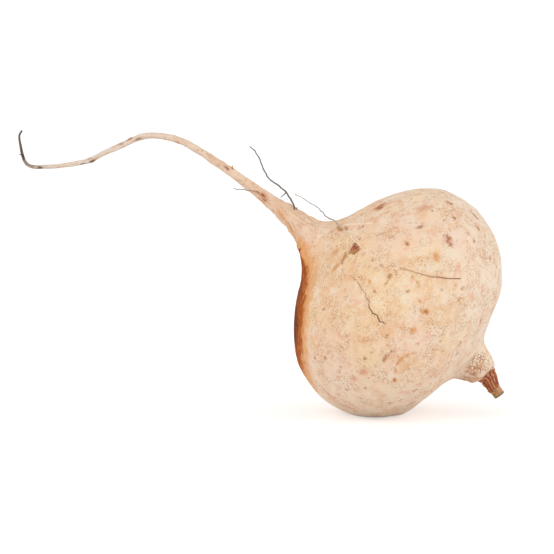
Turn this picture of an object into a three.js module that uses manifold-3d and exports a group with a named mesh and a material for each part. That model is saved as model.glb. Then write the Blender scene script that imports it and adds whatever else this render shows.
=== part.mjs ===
// A jicama root that rests on the small flat spot of its belly. The round tuber, its neck and its long
// thin taproot are grown as one piece. The cut stub of the vine is at the crown, and dried rootlets
// stand off the neck and lie on the skin.
// Millimetres, +Z up. The origin is on the flat spot, just about below the centre of mass. The front
// faces -Y, the crown points to +X and down, and the taproot runs to -X.

import * as THREE from "three";
import { mergeVertices } from "three/addons/utils/BufferGeometryUtils.js";
import Module from "manifold-3d";

// The line through the middle of the root: crown, body, neck, and taproot to its hooked tip.
const SPINE = [
  [51.1, 0, 21.8], [47.3, 0, 26.3], [41.5, 0, 31.1], [33, 0, 37.4], [17, 0, 49.5], [1.5, 0, 62],
  [-14.5, 0, 76], [-30.5, 0, 89.5], [-47, 0.5, 101.5], [-58.5, 1, 110], [-71.5, 2, 120], [-85, 3, 130.2],
  [-98, 4.5, 139.1], [-111.5, 6, 147.7], [-120, 7, 151.4], [-129, 8, 153.1], [-138, 8, 152.8],
  [-146.5, 7, 149.4], [-159.5, 4, 143.7], [-168.5, 1, 139.7], [-181.5, -3, 137.5], [-190.5, -6, 137],
  [-197, -8.5, 137.2], [-200.7, -10, 139], [-202.6, -11, 143.5], [-203.6, -12, 149],
  [-204.2, -12.7, 154.3], [-202.4, -13, 157.7],
];

// The girth along that line: the distance from the crown, the radius, and the lean to the upper side.
const GIRTH = [
  [0, 5.4, 0], [1.5, 8.2, -1.2], [5, 9.7, -1], [10, 11.7, -0.9], [14, 15.3, -0.4], [18, 25.6, 1.7],
  [22, 38.6, 0.5], [28, 49.2, -0.7], [36, 57.7, -0.8], [46, 63.5, -0.9], [60, 66.8, -0.2], [72, 65.9, 1],
  [84, 62.1, 1.8], [93, 55.4, 2.3], [101, 46, 1.3], [108, 34.4, -1.5], [115, 19.8, -3], [122, 12, -2.4],
  [130, 7.7, -0.8], [140, 5.6, 0.4], [152, 3.9, 0.2], [168, 2.8, 0], [190, 2.2, 0], [220, 1.8, 0],
  [250, 1.6, 0], [280, 1.3, 0], [304, 0.9, 0], [322, 0.5, 0],
];
const TUBER_RINGS = 76;
const TUBER_SIDES = 36;

// The section of the body: a little flattened front to back, fuller below than above, with shallow
// lobes that are strongest at the crown. Limbs thinner than THIN stay round.
const FLATTENING = 0.06;
const FULLER_BELOW = 0.1;
const LOBES = 4;
const LOBE_AT_CROWN = 0.03;
const LOBE_AT_NECK = 0.004;
const BODY_LENGTH = 120;
const THIN = 6;
const STOUT = 26;

// The belly bulges down a little where it rests, and is worn flat there: what hangs below the ground is
// cut off by a block this wide.
const FOOT = { x: 6, width: 10, bulge: 2 };
const GROUND_CUT = 90;

// The cut stub of the vine: its line starts just off the crown, and its radius tapers to the cut.
const STUB_LINE = [
  [51.35, 0, 21.5], [52.6, 0, 19.95], [53.8, 0, 17.3], [55.1, 0, 14.9], [56.85, 0, 12.4], [58.4, 0, 10.2],
];
const STUB_GIRTH = [[0, 5.35], [2.1, 4.6], [5, 3.9], [7.7, 3.5], [13.6, 3.2]];
const STUB_RINGS = 9;
const STUB_SIDES = 14;

// Rootlets are thin tapered strands. A route point [x, z] lies on the skin where it is seen from the
// front or the back, and a point [x, y, z] is free of it.
const GAP = 0.35;
const STRAND_SIDES = 6;
const STRAND_STEP = 4;
const NECK_STRAND = {
  thick: 0.6,
  thin: 0.3,
  route: [
    [-54.7, 112.6], [-55.2, -4.5, 116], [-57.8, -5, 120.9], [-62.4, -6, 126], [-68.2, -7, 130.2],
    [-72, -8, 136.5], [-75, -9, 143.8], [-79.3, -10, 148.6],
  ],
};
const NECK_FORK = {
  thick: 0.4,
  thin: 0.25,
  route: [[-59.6, -5.4, 122.6], [-61, -5.8, 121.4], [-62.4, -6, 120.2]],
};
const STRANDS = {
  rootlet_tail: {
    thick: 0.45,
    thin: 0.25,
    route: [
      [-69.3, 118], [-73.2, 121], [-76.5, 122.9], [-81.2, -3.8, 124.2], [-84.7, -4.6, 124.5],
      [-88.1, -6, 125.2],
    ],
  },
  rootlet_shoulder: {
    thick: 0.6,
    thin: 0.25,
    route: [
      [-16.8, 93], [-19.3, 96.6], [-21.8, 100.1], [-26.5, 102.9], [-29.5, 104.4], [-33.2, -10.5, 107.8],
      [-37.2, -10.5, 110.2], [-43, -11.5, 115.6], [-48, -12, 118.9], [-54.6, -12, 122.9],
    ],
  },
  rootlet_front_straight: {
    thick: 0.4,
    thin: 0.25,
    route: [[1.2, 86.6], [8.7, 84.4], [18.5, 82], [27.9, 80.6], [33.4, 80.1]],
  },
  rootlet_front_bent: {
    thick: 0.45,
    thin: 0.25,
    route: [
      [-25.4, 81.2], [-22.9, 80.4], [-20.3, 76.6], [-16.4, 72.1], [-14.7, 65], [-13.6, 62.4], [-11.4, 61.4],
      [-9.5, 58.7], [-7.8, 57.2],
    ],
  },
  rootlet_scar: { thick: 0.5, thin: 0.3, route: [[-27.3, 94.5], [-28.1, 90.5], [-30, 85.9], [-29, 83.1]] },
  rootlet_back_upper: {
    thick: 0.45,
    thin: 0.25,
    back: true,
    route: [[-24, 92], [-16, 88.6], [-7, 87], [1, 83], [9, 81.5]],
  },
  rootlet_back_lower: {
    thick: 0.45,
    thin: 0.25,
    back: true,
    route: [[24, 62], [17, 58], [13, 50], [5, 46]],
  },
};

// Every line is a uniform Catmull-Rom curve, measured finely enough for even spacing.
const TENSION = 0.5;
const ARC_DIVISIONS = 2000;

// Farther off than any part of the root, where the search for the skin starts.
const FAR_OFF = 1000;

const ROUGHNESS = 0.8;
const SKIN_COLOR = "#ebcba7";
const STUB_COLOR = "#a56a4b";
const DARK_STRAND_COLOR = "#6f6259";
const STRAND_COLOR = "#b08a66";

const frontward = new THREE.Vector3(0, -1, 0);

function curveOf(points) {
  const places = points.map((point) => new THREE.Vector3(...point));
  const curve = new THREE.CatmullRomCurve3(places, false, "catmullrom", TENSION);
  curve.arcLengthDivisions = ARC_DIVISIONS;
  return curve;
}

// The point at a distance along a line, the direction of the line there, and the two directions across.
function frameAt(line, along) {
  const share = Math.min(1, along / line.getLength());
  const ahead = line.getTangentAt(share);
  const up = new THREE.Vector3().crossVectors(ahead, frontward).normalize();
  const front = new THREE.Vector3().crossVectors(up, ahead);
  return { centre: line.getPointAt(share), up, front };
}

// A lathe of the stations (distance, radius, lean), bent along a line. section(station, angle) gives
// how far the skin is from the line upward and forward.
function bentLathe(line, stations, sides, section) {
  const outline = stations.map((station) => new THREE.Vector2(station.y, station.x));
  const lathe = new THREE.LatheGeometry(outline, sides);
  const frames = stations.map((station) => frameAt(line, station.x));
  const { position } = lathe.attributes;
  for (let k = 0; k < position.count; k += 1) {
    const ring = k % stations.length;
    const angle = Math.atan2(-position.getX(k), position.getZ(k));
    const [upward, forward] = section(stations[ring], angle);
    const { centre, up, front } = frames[ring];
    const place = centre.clone().addScaledVector(up, upward).addScaledVector(front, forward);
    position.setXYZ(k, place.x, place.y, place.z);
  }
  return closed(lathe);
}

// Shared corners are merged, and the triangles that have no width at the ends are dropped.
function closed(geometry) {
  geometry.deleteAttribute("normal");
  geometry.deleteAttribute("uv");
  const merged = mergeVertices(geometry);
  const kept = [];
  for (let k = 0; k < merged.index.count; k += 3) {
    const corners = [0, 1, 2].map((corner) => merged.index.getX(k + corner));
    if (new Set(corners).size === 3) kept.push(...corners);
  }
  merged.setIndex(kept);
  return merged;
}

function tuberSection(station, angle) {
  const stout = THREE.MathUtils.clamp((station.y - THIN) / (STOUT - THIN), 0, 1);
  const lobe = THREE.MathUtils.lerp(LOBE_AT_CROWN, LOBE_AT_NECK, Math.min(1, station.x / BODY_LENGTH));
  const lobes = 1 + stout * lobe * Math.sin(LOBES * angle);
  const reach = station.y * lobes + station.z * Math.cos(angle);
  const depth = 1 - stout * (FLATTENING + FULLER_BELOW * Math.cos(angle));
  return [reach * Math.cos(angle), reach * Math.sin(angle) * depth];
}

const wasm = await Module();
wasm.setup();

function solidOf(geometry) {
  const vertProperties = geometry.attributes.position.array;
  const triVerts = new Uint32Array(geometry.index.array);
  return new wasm.Manifold(new wasm.Mesh({ numProp: 3, vertProperties, triVerts }));
}

function geometryOf(solid) {
  const { vertProperties, triVerts } = solid.getMesh();
  const geometry = new THREE.BufferGeometry();
  geometry.setAttribute("position", new THREE.BufferAttribute(vertProperties, 3));
  geometry.setIndex(new THREE.BufferAttribute(triVerts, 1));
  geometry.computeVertexNormals();
  return geometry;
}

// The belly is pushed down where it rests, and all that is then below the ground is cut away.
function tuber() {
  const girth = curveOf(GIRTH).getSpacedPoints(TUBER_RINGS);
  const stations = [new THREE.Vector3(0, 0, 0), ...girth, new THREE.Vector3(girth.at(-1).x, 0, 0)];
  const skin = bentLathe(curveOf(SPINE), stations, TUBER_SIDES, tuberSection);
  const { position } = skin.attributes;
  for (let k = 0; k < position.count; k += 1) {
    const away = Math.hypot(position.getX(k) - FOOT.x, position.getY(k)) / FOOT.width;
    const low = position.getZ(k) < FOOT.width;
    if (low) position.setZ(k, position.getZ(k) - FOOT.bulge * Math.exp(-away * away));
  }
  const block = new THREE.BoxGeometry(GROUND_CUT, GROUND_CUT, GROUND_CUT);
  const below = block.translate(FOOT.x, 0, -GROUND_CUT / 2);
  return geometryOf(solidOf(skin).subtract(solidOf(closed(below))));
}

function stub() {
  const profile = curveOf(STUB_GIRTH.map(([along, radius]) => [along, radius, 0]));
  return strand(curveOf(STUB_LINE), profile.getSpacedPoints(STUB_RINGS), STUB_SIDES);
}

// A limb with a round section and flat ends.
function strand(line, stations, sides) {
  const start = new THREE.Vector3(stations[0].x, 0, 0);
  const end = new THREE.Vector3(stations.at(-1).x, 0, 0);
  const round = (station, angle) => [station.y * Math.cos(angle), station.y * Math.sin(angle)];
  return bentLathe(line, [start, ...stations, end], sides, round);
}

// The place that lies a lift above the skin, seen along Y at x and z from the front or the back.
function onSkin(skin, x, z, lift, back) {
  const away = back ? 1 : -1;
  const eye = new THREE.Vector3(x, away * FAR_OFF, z);
  const [hit] = new THREE.Raycaster(eye, new THREE.Vector3(0, -away, 0)).intersectObject(skin);
  return hit.point.addScaledVector(hit.face.normal, lift);
}

// The route's places. A leg between two points on the skin also touches it halfway.
function placesOf(skin, route, lift, back) {
  const places = [];
  route.forEach((point, k) => {
    const last = route[k - 1];
    if (last?.length === 2 && point.length === 2) {
      places.push(onSkin(skin, (last[0] + point[0]) / 2, (last[1] + point[1]) / 2, lift, back));
    }
    places.push(point.length === 2 ? onSkin(skin, ...point, lift, back) : new THREE.Vector3(...point));
  });
  return places.map((place) => place.toArray());
}

function rootlet(skin, { thick, thin, route, back = false }) {
  const places = placesOf(skin, route, thick + GAP, back);
  const line = curveOf(places);
  const length = line.getLength();
  const steps = Math.ceil(length / STRAND_STEP);
  const stations = [];
  for (let k = 0; k <= steps; k += 1) {
    const share = k / steps;
    stations.push(new THREE.Vector3(share * length, THREE.MathUtils.lerp(thick, thin, share), 0));
  }
  return strand(line, stations, STRAND_SIDES);
}

function forkedRootlet(skin, stem, fork) {
  return geometryOf(solidOf(rootlet(skin, stem)).add(solidOf(rootlet(skin, fork))));
}

function named(name, geometry, color) {
  const material = new THREE.MeshStandardMaterial({ color, roughness: ROUGHNESS, metalness: 0 });
  const mesh = new THREE.Mesh(geometry, material);
  mesh.name = name;
  return mesh;
}

const root = new THREE.Group();
const body = named("tuber", tuber(), SKIN_COLOR);
root.add(body, named("stem_stub", stub(), STUB_COLOR));
root.add(named("rootlet_neck", forkedRootlet(body, NECK_STRAND, NECK_FORK), DARK_STRAND_COLOR));
for (const [name, form] of Object.entries(STRANDS)) {
  root.add(named(name, rootlet(body, form), STRAND_COLOR));
}

export default root;
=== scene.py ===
"""The looks of a whole jicama root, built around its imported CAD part.

Shapes are worked out in millimetres in the part's own frame and become metres when a mesh is made.
+Z is up, the front faces -Y, the crown points to +X and down, and the taproot runs to -X.
"""

import math

import bpy
import numpy as np
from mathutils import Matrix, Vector, noise
from mathutils.bvhtree import BVHTree


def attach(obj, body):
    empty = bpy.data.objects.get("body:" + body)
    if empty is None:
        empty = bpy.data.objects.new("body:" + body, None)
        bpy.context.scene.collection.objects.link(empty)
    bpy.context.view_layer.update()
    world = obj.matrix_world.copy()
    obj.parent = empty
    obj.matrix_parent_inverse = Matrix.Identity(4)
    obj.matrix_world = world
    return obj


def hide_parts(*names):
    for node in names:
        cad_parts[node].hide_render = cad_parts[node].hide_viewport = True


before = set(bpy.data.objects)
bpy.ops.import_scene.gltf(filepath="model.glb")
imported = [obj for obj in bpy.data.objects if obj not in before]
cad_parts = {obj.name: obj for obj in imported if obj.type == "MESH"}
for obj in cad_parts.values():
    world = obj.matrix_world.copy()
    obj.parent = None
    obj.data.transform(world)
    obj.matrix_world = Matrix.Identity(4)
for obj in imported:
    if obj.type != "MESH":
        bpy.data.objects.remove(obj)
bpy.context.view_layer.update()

MM = 0.001
FRONTWARD = np.array([0.0, -1.0, 0.0])
SEED = 11

# -------- driving dimensions, in millimetres

# The line through the middle of the root: crown, body, neck, and taproot to its hooked tip.
SPINE = [
    (51.1, 0, 21.8), (47.3, 0, 26.3), (41.5, 0, 31.1), (33, 0, 37.4), (17, 0, 49.5), (1.5, 0, 62),
    (-14.5, 0, 76), (-30.5, 0, 89.5), (-47, 0.5, 101.5), (-58.5, 1, 110), (-71.5, 2, 120),
    (-85, 3, 130.2), (-98, 4.5, 139.1), (-111.5, 6, 147.7), (-120, 7, 151.4), (-129, 8, 153.1),
    (-138, 8, 152.8), (-146.5, 7, 149.4), (-159.5, 4, 143.7), (-168.5, 1, 139.7),
    (-181.5, -3, 137.5), (-190.5, -6, 137), (-197, -8.5, 137.2), (-200.7, -10, 139),
    (-202.6, -11, 143.5), (-203.6, -12, 149), (-204.2, -12.7, 154.3), (-202.4, -13, 157.7),
]

# The girth along it: the distance from the crown, the radius, and the lean to the upper side.
GIRTH = [
    (0, 5.4, 0), (1.5, 8.2, -1.2), (5, 9.7, -1), (10, 11.7, -0.9), (14, 15.3, -0.4),
    (18, 25.6, 1.7), (22, 38.6, 0.5), (28, 49.2, -0.7), (36, 57.7, -0.8), (46, 63.5, -0.9),
    (60, 66.8, -0.2), (72, 65.9, 1), (84, 62.1, 1.8), (93, 55.4, 2.3), (101, 46, 1.3),
    (108, 34.4, -1.5), (115, 19.8, -3), (122, 12, -2.4), (130, 7.7, -0.8), (140, 5.6, 0.4),
    (152, 3.9, 0.2), (168, 2.8, 0), (190, 2.2, 0), (220, 1.8, 0), (250, 1.6, 0), (280, 1.3, 0),
    (304, 0.9, 0), (322, 0.5, 0),
]

# The body's section: flatter from front to back than it is wide, fuller below, and faintly lobed. A
# section is round where the radius is THIN, and has its full share of all this where it is STOUT.
FLATTENING = 0.06
FULLER_BELOW = 0.1
LOBES = 4
LOBE_AT_CROWN = 0.03
LOBE_AT_NECK = 0.004
BODY_LENGTH = 120
THIN = 6
STOUT = 26
# The belly's bulge, where the root rests: it is cut flat at the ground.
FOOT_X = 6
FOOT_WIDTH = 10
FOOT_BULGE = 2

# The visible mesh: rings a step apart, with most sides where the radius is BROAD or more, and half
# as many each time that it halves.
RING_STEP = 0.98
MOST_SIDES = 384
FEWEST_SIDES = 24
BROAD = 33

# The cut stub of the vine, which starts inside the crown.
STUB_LINE = [
    (50.2, 0, 22.9), (51.3, 0, 21.6), (52.6, 0, 19.9), (53.85, 0, 17.3), (55.2, 0, 14.9),
    (57, 0, 12.4), (58.6, 0, 10.2),
]
STUB_GIRTH = [(0, 4.6), (1.5, 5.15), (3.7, 4.45), (6.5, 3.8), (9.2, 3.4), (12.3, 3.25), (15.3, 3.15)]


# -------- lines and meshes

class Line:
    """A uniform Catmull-Rom curve through a few points, walked by the distance along it."""

    LEG_STEPS = 60

    def __init__(self, points):
        inner = np.array(points, float)
        padded = np.vstack([2 * inner[0] - inner[1], inner, 2 * inner[-1] - inner[-2]])
        share = np.linspace(0, 1, self.LEG_STEPS, endpoint=False)[:, None]
        legs = []
        for a, b, c, d in zip(padded, padded[1:], padded[2:], padded[3:]):
            bend = 2 * a - 5 * b + 4 * c - d
            twist = 3 * b - a - 3 * c + d
            legs.append(b + 0.5 * ((c - a) * share + bend * share**2 + twist * share**3))
        self.places = np.vstack([*legs, inner[-1]])
        steps = np.linalg.norm(np.diff(self.places, axis=0), axis=1)
        self.distance = np.concatenate([[0], np.cumsum(steps)])
        self.length = self.distance[-1]

    def at(self, along):
        columns = [np.interp(along, self.distance, column) for column in self.places.T]
        return np.stack(columns, axis=-1)

    def ahead(self, along, reach=0.4):
        return unit(self.at(along + reach) - self.at(along - reach))

    def axes(self, along):
        """Directions at places along the line: ahead, to its upper side and to its front."""
        ahead = self.ahead(along)
        up = unit(np.cross(ahead, FRONTWARD))
        return ahead, up, np.cross(up, ahead)


def unit(vectors):
    return vectors / np.maximum(np.linalg.norm(vectors, axis=-1, keepdims=True), 1e-9)


def smooth(value, low, high):
    """0 below low, 1 above high, and a smooth step between them."""
    share = np.clip((value - low) / (high - low), 0, 1)
    return share * share * (3 - 2 * share)


def hill(away):
    """1 where away is 0, falling softly to almost nothing where it is 2."""
    return np.exp(-(away**2))


def ripple(points, size, octaves):
    """Smooth noise of about -1 to 1 at each point, with waves about size mm long."""
    fade, finer = 0.9, 2.1
    return np.array([noise.fractal(Vector(p), fade, finer, octaves) for p in points / size])


def turned(faces):
    """The same faces with their other side out, for rings that run clockwise about their line."""
    return [face[::-1] for face in faces]


def even_band(here, there, count):
    """Four-sided faces between two rings with as many sides."""
    k = np.arange(count)
    after = (k + 1) % count
    return np.stack([here + k, here + after, there + after, there + k], axis=1).tolist()


def halving_band(fine, coarse, count):
    """Three triangles for each side of a coarse ring, whose neighbour has twice as many sides."""
    faces = []
    for k in range(count):
        a, b = coarse + k, coarse + (k + 1) % count
        start, middle, end = (fine + (2 * k + i) % (2 * count) for i in range(3))
        faces += [(start, middle, a), (middle, b, a), (middle, end, b)]
    return faces


def ring_faces(sides):
    """Faces between rings of vertices, where a ring may have half or twice its neighbour's sides."""
    faces = []
    here = 0
    for count, following in zip(sides, sides[1:]):
        there = here + count
        if count == following:
            faces += even_band(here, there, count)
        elif count > following:
            faces += halving_band(here, there, following)
        else:
            faces += turned(halving_band(there, here, count))
        here = there
    return faces


def capped(rings, sides, faces, ends):
    """Adds a centre vertex at each end, joined to the first and the last ring."""
    total = sum(sides)
    for k in range(sides[0]):
        faces.append((total, (k + 1) % sides[0], k))
    last = total - sides[-1]
    for k in range(sides[-1]):
        faces.append((total + 1, last + k, last + (k + 1) % sides[-1]))
    return np.vstack([rings, ends]), faces


def placed(name, data):
    """A new object in the scene."""
    made = bpy.data.objects.new(name, data)
    bpy.context.scene.collection.objects.link(made)
    return made


def piece(name, places, faces, material, values):
    """A smooth mesh from millimetre places, with named values at its vertices for its material."""
    mesh = bpy.data.meshes.new(name)
    mesh.from_pydata((places * MM).tolist(), [], faces)
    mesh.shade_smooth()
    for key, value in values.items():
        kind, field = ("FLOAT", "value") if value.ndim == 1 else ("FLOAT_VECTOR", "vector")
        data = mesh.attributes.new(key, kind, "POINT").data
        data.foreach_set(field, value.astype(np.float32).ravel())
    mesh.materials.append(material)
    return placed(name, mesh)


def vertex_normals(places, faces):
    mesh = bpy.data.meshes.new("normals")
    mesh.from_pydata(places.tolist(), [], faces)
    mesh.update()
    out = np.zeros(len(places) * 3, np.float32)
    mesh.vertices.foreach_get("normal", out)
    bpy.data.meshes.remove(mesh)
    return out.reshape(-1, 3).astype(float)


# -------- materials

def srgb(code):
    """A linear RGBA colour from its six-digit code."""
    levels = [int(code[k:k + 2], 16) / 255 for k in (0, 2, 4)]
    linear = [c / 12.92 if c <= 0.04045 else ((c + 0.055) / 1.055) ** 2.4 for c in levels]
    return (*linear, 1.0)


class Graph:
    """The node graph of a material or the world: each call adds a node and returns its output."""

    def __init__(self, owner, shader="Principled BSDF"):
        owner.use_nodes = True
        self.owner = owner
        self.tree = owner.node_tree
        self.shader = self.tree.nodes[shader]

    def put(self, value, socket):
        """Feeds a socket from another node's output, a number, a vector or a colour's code."""
        if isinstance(value, bpy.types.NodeSocket):
            self.tree.links.new(value, socket)
        else:
            socket.default_value = srgb(value) if isinstance(value, str) else value

    def add(self, kind, inputs, output=0, **settings):
        node = self.tree.nodes.new(kind)
        for key, value in settings.items():
            setattr(node, key, value)
        for key, value in inputs.items():
            self.put(value, node.inputs[key])
        return node.outputs[output]

    def value(self, name):
        return self.add("ShaderNodeAttribute", {}, "Fac", attribute_name=name)

    def vector(self, name):
        return self.add("ShaderNodeAttribute", {}, "Vector", attribute_name=name)

    def moved(self, vector, stretch, shift=0.0):
        inputs = {0: vector, 1: stretch, 2: (shift, shift, shift)}
        return self.add("ShaderNodeVectorMath", inputs, 0, operation="MULTIPLY_ADD")

    def noise(self, vector, size, detail=2.0, roughness=0.5, distortion=0.0):
        inputs = {"Vector": vector, "Scale": 1 / size, "Detail": detail, "Roughness": roughness,
                  "Distortion": distortion}
        return self.add("ShaderNodeTexNoise", inputs, 0)

    def cells(self, vector, size, feature="F1"):
        """A pattern of cells: the node itself, because more than one of its outputs is used."""
        inputs = {"Vector": vector, "Scale": 1 / size}
        return self.add("ShaderNodeTexVoronoi", inputs, "Distance", feature=feature).node

    def math(self, operation, a, b):
        return self.add("ShaderNodeMath", {0: a, 1: b}, 0, operation=operation)

    def plus(self, a, b):
        return self.math("ADD", a, b)

    def minus(self, a, b):
        return self.math("SUBTRACT", a, b)

    def times(self, a, b):
        return self.math("MULTIPLY", a, b)

    def swing(self, field, most):
        """Noise about zero, from -most / 2 to most / 2 or so."""
        return self.times(self.minus(field, 0.5), most)

    def step(self, value, low, high, out_low=0.0, out_high=1.0):
        """A smooth step from out_low at low to out_high at high, which may lie below low."""
        inputs = {"Value": value, "From Min": low, "From Max": high, "To Min": out_low,
                  "To Max": out_high}
        return self.add("ShaderNodeMapRange", inputs, 0, interpolation_type="SMOOTHSTEP")

    def mix(self, share, a, b):
        """Colour a, with b over it where share is 1."""
        return self.add("ShaderNodeMix", {0: share, 6: a, 7: b}, 2, data_type="RGBA")

    def bump(self, height, distance_mm, strength):
        inputs = {"Height": height, "Distance": distance_mm * MM, "Strength": strength}
        return self.add("ShaderNodeBump", inputs, 0)

    def layered(self, colour, layers, within=1.0):
        """A colour with others over it: field, where it starts and is full, greatest share, colour."""
        for field, low, high, most, code in layers:
            share = self.times(within, self.step(field, low, high, 0, most))
            colour = self.mix(share, colour, code)
        return colour

    def by_ray(self, light, seen):
        """One level for the light that is cast, and one for what the camera sees, whether straight,
        in a reflection or through glass."""
        rays = self.add("ShaderNodeLightPath", {}).node.outputs
        straight_or_mirrored = self.math("MAXIMUM", rays["Is Camera Ray"], rays["Is Glossy Ray"])
        any_way = self.math("MAXIMUM", straight_or_mirrored, rays["Is Transmission Ray"])
        return self.step(any_way, 0, 1, light, seen)

    def shaded(self, inputs):
        """Feeds the shader and returns the material or the world."""
        for key, value in inputs.items():
            self.put(value, self.shader.inputs[key])
        return self.owner


def material_graph(name):
    return Graph(bpy.data.materials.new(name))


def matte(g, colour, roughness, normal, specular):
    """Finishes the material of a dry surface."""
    inputs = {"Base Color": colour, "Roughness": roughness, "Normal": normal,
              "Specular IOR Level": specular}
    return g.shaded(inputs)


# How much light the dry skin and bark reflect at a glance, and the depth in mm of their fine relief.
SKIN_SPECULAR = 0.22
BARK_SPECULAR = 0.25
SKIN_RELIEF = 0.25
BARK_RELIEF = 0.25
STRAND_RELIEF = 0.1

# The skin's mottling, from broad to fine: stretch along and round the root, size in mm, detail,
# the noise where a layer starts and where it is full, its greatest share, its colour, and whether
# it is crowded together in some places.
MOTTLING = [
    ((1, 1, 1), 12.0, 3, 0.48, 0.70, 0.60, "eab57e", False),
    ((1, 1, 1), 9.0, 3, 0.50, 0.68, 0.60, "f8e7d2", False),
    ((1, 1, 1), 6.0, 2, 0.52, 0.72, 0.55, "efb898", False),
    ((1, 0.35, 0.35), 2.6, 3, 0.53, 0.72, 0.45, "d9a36c", True),
    ((0.35, 1, 1), 2.2, 3, 0.54, 0.74, 0.40, "d9a676", True),
    ((1, 0.35, 0.35), 2.0, 2, 0.52, 0.72, 0.40, "fbe8d2", False),
    ((1, 1, 1), 1.7, 3, 0.54, 0.72, 0.44, "c88a54", True),
    ((1, 1, 1), 1.1, 3, 0.52, 0.71, 0.64, "bc763e", True),
    ((1, 1, 1), 0.75, 2, 0.51, 0.69, 0.72, "bc7840", True),
    ((1, 1, 1), 0.9, 2, 0.51, 0.70, 0.66, "feeed8", True),
]
# Lenticels, in two sizes: how far apart in mm, their size as a share of that, and the random number
# above which a cell has one.
LENTICELS = [(4.6, 0.17, 0.66), (2.6, 0.17, 0.7)]
# The kinds of marks: colour, how far noise breaks them up (soft stains little, scars into crumbs),
# and their greatest share.
MARK_KINDS = {
    "pale": ("f9e8cb", 1.0, 0.8),
    "rose": ("dd9a7c", 3.0, 0.75),
    "orange": ("dd9650", 2.6, 0.8),
    "brown": ("ab6436", 4.5, 0.8),
    "dark": ("9c5634", 2.5, 0.9),
    "umber": ("5e4434", 2.0, 0.85),
}


def skin_drifts(g, place):
    """Broad drifts of yellow and rosy cream, warmer on the left, and paler on the right, at the top and
    at the foot as painted light.
    """
    broad = g.noise(place, 30, 2)
    colour = g.mix(g.step(broad, 0.38, 0.62), "f8d8b0", "f7d7bd")
    colour = g.mix(g.times(g.value("warm"), 0.5), colour, "efc690")
    # Painted light: paler on the right, at the top and at the foot.
    return g.mix(g.times(g.value("painted_light"), 0.85), colour, "fde9d4")


def mottled(g, colour, grown, place):
    crowd = g.step(g.noise(place, 9, 2, 0.6, 0.5), 0.4, 0.62, 0.1, 1.0)
    for k, (stretch, size, detail, low, high, most, code, crowded) in enumerate(MOTTLING):
        field = g.noise(g.moved(grown, stretch, 37.0 * k), size, detail, 0.6, 0.5)
        layer = (field, low, high, most, code)
        colour = g.layered(colour, [layer], crowd if crowded else 1.0)
    return colour


def with_lenticels(g, colour, grown, place):
    """Brown dots, ragged at their edges."""
    ragged = g.swing(g.noise(place, 1.1, 2, 0.6), 0.6)
    for apart, size, picked_above in LENTICELS:
        dot = g.cells(g.moved(grown, (1, 0.7, 0.7)), apart)
        picked = g.add("ShaderNodeSeparateColor", {"Color": dot.outputs["Color"]}, 0)
        near = g.step(g.plus(dot.outputs["Distance"], ragged), size, size * 0.3)
        share = g.times(near, g.step(picked, picked_above, 1.0, 0, 0.6))
        colour = g.mix(share, colour, "b67440")
    return colour


def with_tail(g, colour, grown, tail, on_tail, streak):
    """The neck and taproot: rosy, streaked along their length, paler and greyer towards the tip."""
    smudge = g.noise(grown, 3.5, 3, 0.6)
    colour = g.mix(g.times(on_tail, 0.7), colour, "f1cfb2")
    colour = g.mix(g.step(tail, 0.16, 0.75, 0, 0.75), colour, "e6dacc")
    return g.layered(colour, [
        (streak, 0.5, 0.68, 0.55, "d39d78"),
        (streak, 0.46, 0.34, 0.5, "f8e6d4"),
        (smudge, 0.56, 0.7, 0.6, "cf9c78"),
    ], on_tail)


def with_marks(g, colour, rough):
    for kind, (code, broken, most) in MARK_KINDS.items():
        uneven = g.plus(1.0, g.swing(rough, broken))
        colour = g.layered(colour, [(g.times(g.value(kind), uneven), 0.05, 0.95, most, code)])
    return colour


def with_flank_shade(g, colour, place):
    """The flank's painted shade, a rust-brown shadow with warm reflected light, with a ragged orange
    edge, and how far each place is shaded.
    """
    edge = g.swing(g.noise(g.moved(place, (1, 1, 0.55)), 2.0, 5, 0.75), 1.0)
    # rust is the share of painted shade, with its edge made ragged by noise.
    rust = g.plus(g.value("painted_shade"), g.times(edge, g.step(g.value("painted_shade"), 0, 0.2)))
    grain = g.noise(g.moved(place, (1, 1, 0.5), 50.0), 1.6, 4, 0.65)
    grained = g.layered("b0520a", [
        (grain, 0.48, 0.66, 0.8, "d47c28"),
        (grain, 0.5, 0.34, 0.8, "702c04"),
    ])
    # Painted shade: orange at its inner edge, grained rust-brown within, darkest at the outline.
    colour = g.layered(colour, [
        (rust, 0.02, 0.42, 0.85, "e8a05a"),
        (rust, 0.44, 0.7, 0.95, grained),
        (rust, 0.76, 1.1, 0.9, "5c2404"),
    ])
    return colour, g.step(rust, 0.44, 0.7, 0, 0.95)


def with_crackle(g, colour, grown, place, rough):
    """The crown's crackle: pale scales in a net of fine brown lines, and the lines themselves."""
    net = g.cells(g.moved(grown, (1, 1.3, 1.3)), 1.8, "DISTANCE_TO_EDGE").outputs["Distance"]
    net = g.plus(net, g.swing(rough, 0.4))
    patch = g.step(g.noise(place, 3.0, 2, 0.6, 0.4), 0.34, 0.56, 0.3, 1.0)
    crackled = g.times(g.value("crackle"), patch)
    line = g.times(g.step(net, 0.19, 0.04), crackled)
    colour = g.mix(g.times(crackled, 0.4), colour, "fde6d0")
    return g.mix(g.times(line, 0.85), colour, "a4622e"), line


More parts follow.
